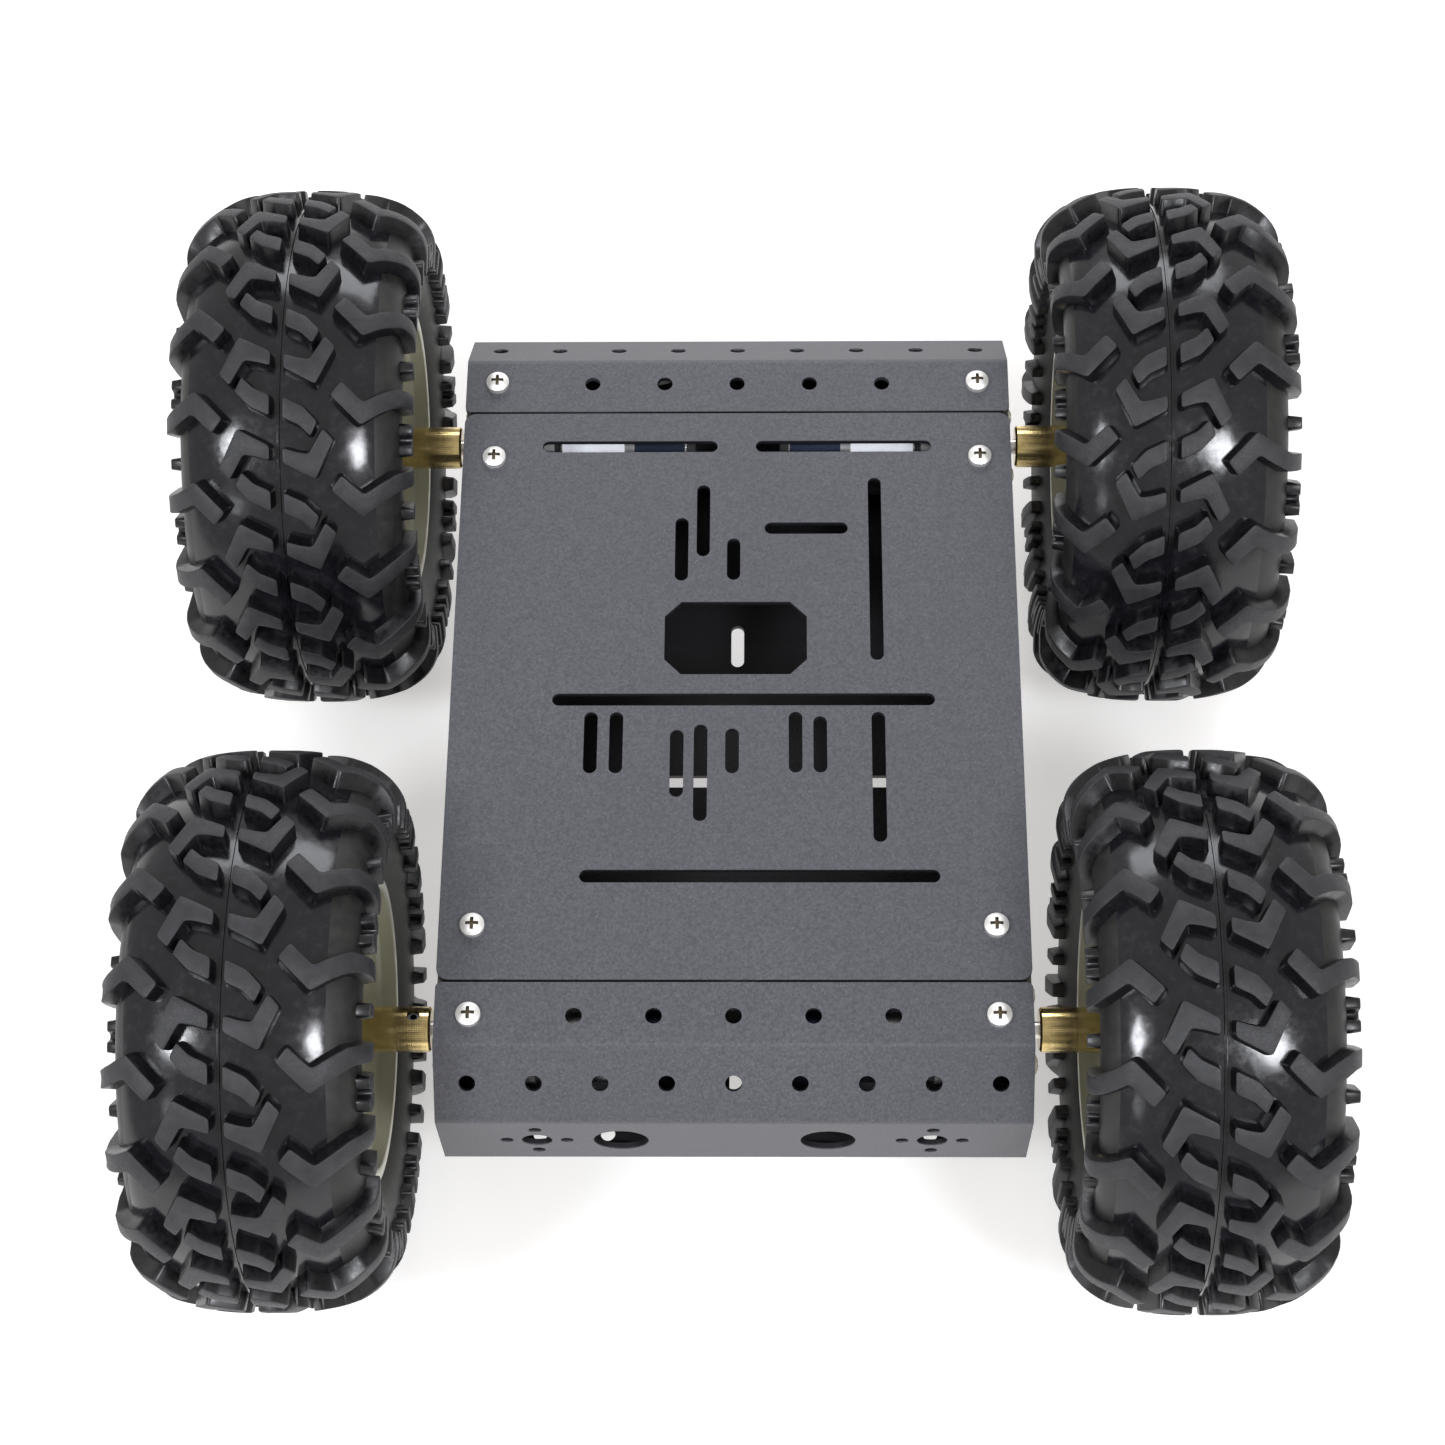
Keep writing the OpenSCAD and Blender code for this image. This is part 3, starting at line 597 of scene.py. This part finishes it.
def lug_mesh(outline):
    """One lug laid flat: vertices (across, along, share of height, drop), faces and skins."""
    top = rounded(outline, CORNER_R)
    if np.sum(top[:, 0] * np.roll(top[:, 1], -1) - np.roll(top[:, 0], -1) * top[:, 1]) < 0:
        top = top[::-1]
    rings = [(grown(top, DRAFT), 0.0, LUG_SINK), (grown(top, DRAFT * 0.75), 0.0, -0.25),
             (top, 1.0, ROUND), (grown(top, -ROUND * 0.35), 1.0, ROUND * 0.28),
             (grown(top, -ROUND), 1.0, 0.0)]
    verts, faces, skins = [], [], []
    for loop, share, drop in rings:
        verts += [(x, y, share, drop) for x, y in loop]
    n = len(top)
    for r in range(len(rings) - 1):
        for i in range(n):
            j = (i + 1) % n
            faces.append((r * n + i, r * n + j, (r + 1) * n + j, (r + 1) * n + i))
            skins.append(FLANK if r < 2 else TOP)
    lid = rings[-1][0]
    low, high = lid.min(0), lid.max(0)
    grid = np.array([(x, y) for x in np.arange(low[0] + 0.8, high[0], 1.7)
                     for y in np.arange(low[1] + 0.8, high[1], 1.7)])
    fill = grid[inside(grid, grown(lid, -0.7))] if len(grid) else grid
    points = [Vector(p) for p in np.vstack([lid, fill.reshape(-1, 2)])]
    edges = [(i, (i + 1) % n) for i in range(n)]
    flat, _, tris, _, _, _ = delaunay_2d_cdt(points, edges, [], 1, 1e-6)
    base = (len(rings) - 1) * n
    if len(flat) != len(points):
        raise ValueError(f"a lug outline crosses itself: {outline}")
    verts += [(p.x, p.y, 1.0, 0.0) for p in points[n:]]
    for tri in tris:
        faces.append(tuple(base + i for i in tri))
        skins.append(TOP)
    return np.array(verts), faces, skins


LUG_MESHES = [(*lug_mesh(outline), odds) for outline, odds in LUGS]


def on_skin(across, along, height, seam):
    """Maps tread coordinates to wheel coordinates: offset along the axle, and Y and Z."""
    w, r, n_w, n_r = PROFILE.read(across)
    angle = math.pi / 2 - along / TREAD_R
    radius = r + n_r * height
    return np.column_stack([leaned(w, r, seam) + n_w * height, radius * np.cos(angle),
                            radius * np.sin(angle)])


def casing_mesh(seam, around=216):
    """The skin under the lugs, with its seam rib, its beads and its inner wall."""
    rib_s = seam + np.array([-0.34, -0.22, 0.0, 0.22, 0.34])
    skin = np.linspace(-PROFILE.s[-1], PROFILE.s[-1], 90)
    s = np.sort(np.concatenate([skin[np.abs(skin - seam) > 0.5], rib_s]))
    w, r, _, n_r = PROFILE.read(s)
    rib = np.where(np.abs(s - seam) < 0.3, SEAM_RIB, 0.0)
    w = leaned(w, r, seam)
    ring = np.column_stack([w, r + rib])
    on_wall = np.abs(s - seam) > WALL_FROM
    lip = ring[-1, 0]
    bead = [(lip - 0.25, ring[-1, 1] - 1.0), (lip - 1.0, FLANGE_R), (lip - 1.9, FLANGE_R),
            (lip - 1.9, BEAD_R), (lip - 5.4, BEAD_R), (lip - 5.8, BEAD_R + 0.8)]
    inner = [(w_ * 0.9, r_ - 3.0 * max(0.0, n_)) for w_, r_, n_ in
             zip(w[::-6], r[::-6], n_r[::-6])][1:-1]
    ring = np.vstack([ring, bead, inner, [(-a, b) for a, b in bead[::-1]]])
    count = len(ring)
    angles = np.linspace(0, 2 * math.pi, around, endpoint=False)
    verts = np.array([(a, b * math.cos(t), b * math.sin(t)) for t in angles for a, b in ring])
    faces, skins = [], []
    for i in range(around):
        j = (i + 1) % around
        for k in range(count):
            m = (k + 1) % count
            faces.append((i * count + k, j * count + k, j * count + m, i * count + m))
            crown = k < len(s) - 1 and not on_wall[k] and not on_wall[k + 1]
            skins.append(CASING if crown else WALL)
    return verts, faces, skins


def tyre_piece(name, corner):
    """A tyre: casing and lugs in one mesh, with the tread mirrored on the rear right."""
    low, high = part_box(corner + "_tyre")
    centre = (low + high) / 2
    mirror = -1 if corner == "rr" else 1
    seam = SEAM_CREEP[corner]
    verts, faces, skins = casing_mesh(seam)
    blocks = [verts]
    start = len(verts)
    phase = PHASES[corner] * PITCH_LEN
    for flat, lug_faces, lug_skins, odds in LUG_MESHES:
        for half in (1, -1):
            across = flat[:, 0] * half * mirror + seam
            along = flat[:, 1] if half > 0 else SWAP_AT - flat[:, 1]
            height = lug_height(across, seam) * flat[:, 2] - flat[:, 3]
            ordered = lug_faces if mirror > 0 else [f[::-1] for f in lug_faces]
            for k in range(PITCHES):
                if k % 2 not in odds:
                    continue
                blocks.append(on_skin(across, along + phase + k * PITCH_LEN, height, seam))
                faces += [tuple(start + i for i in f) for f in ordered]
                skins += lug_skins
                start += len(flat)
    mesh = bpy.data.meshes.new(name)
    points = np.vstack(blocks) * MM + np.array(centre)
    mesh.from_pydata(points.tolist(), [], faces)
    for skin in TYRE_SKINS:
        mesh.materials.append(skin)
    mesh.polygons.foreach_set("material_index", skins)
    mesh.polygons.foreach_set("use_smooth", [True] * len(faces))
    tool = bmesh.new()
    tool.from_mesh(mesh)
    bmesh.ops.recalc_face_normals(tool, faces=tool.faces)
    tool.to_mesh(mesh)
    tool.free()
    mesh.set_sharp_from_angle(angle=math.radians(38))
    piece = bpy.data.objects.new(name, mesh)
    bpy.context.scene.collection.objects.link(piece)
    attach(piece, BODY_OF[corner])
    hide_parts(corner + "_tyre")


for corner in BODY_OF:
    tyre_piece(corner + "_treaded_tyre", corner)

# ---------------------------------------------------------------- stage and lights


def make_floor():
    """The pale floor that the wheels stand on."""
    mesh = bpy.data.meshes.new("floor")
    half = 14.0
    mesh.from_pydata([(-half, -half, 0), (half, -half, 0), (half, half, 0), (-half, half, 0)],
                     [], [(0, 1, 2, 3)])
    floor = bpy.data.objects.new("floor", mesh)
    bpy.context.scene.collection.objects.link(floor)
    m = Maker("floor_paint", Roughness=0.7, Emission_Strength=0.42)
    m.shader.inputs["Emission Color"].default_value = (1.0, 0.985, 0.96, 1.0)
    m.set("Base Color", m.mix(m.ramp(m.noise(2.0), 0.3, 0.7), (0.80, 0.79, 0.78),
                              (0.82, 0.81, 0.80)))
    mesh.materials.append(m.material)


COOL = (0.93, 0.95, 1.0)


def soft_box(name, place, aim, size, power):
    """A rectangular area light, slightly cool, that points at a place."""
    data = bpy.data.lights.new(name, "AREA")
    data.shape = "RECTANGLE"
    data.size, data.size_y = size
    data.energy = power
    data.color = COOL
    light = bpy.data.objects.new(name, data)
    bpy.context.scene.collection.objects.link(light)
    light.location = place
    light.rotation_euler = (Vector(aim) - Vector(place)).to_track_quat("-Z", "Y").to_euler()


def make_lights():
    """An even white surrounding and soft boxes above the left, right, front and rear."""
    world = bpy.data.worlds.new("studio")
    world.use_nodes = True
    sky = world.node_tree.nodes["Background"]
    sky.inputs["Color"].default_value = (1.0, 0.985, 0.97, 1.0)
    sky.inputs["Strength"].default_value = 0.62
    bpy.context.scene.world = world
    soft_box("left_box", (-0.82, -0.62, 1.25), (-0.05, 0, 0.05), (0.30, 0.34), 10)
    soft_box("right_box", (0.60, -0.70, 1.25), (0.05, 0, 0.05), (0.30, 0.34), 10)
    soft_box("low_box", (-1.2, -1.75, 1.15), (0, 0, 0.05), (0.35, 0.3), 1.2)
    soft_box("rear_box", (0.0, 1.3, 0.9), (0, 0, 0.05), (1.2, 0.5), 9)


make_floor()
make_lights()
bpy.context.scene.view_settings.view_transform = "Standard"
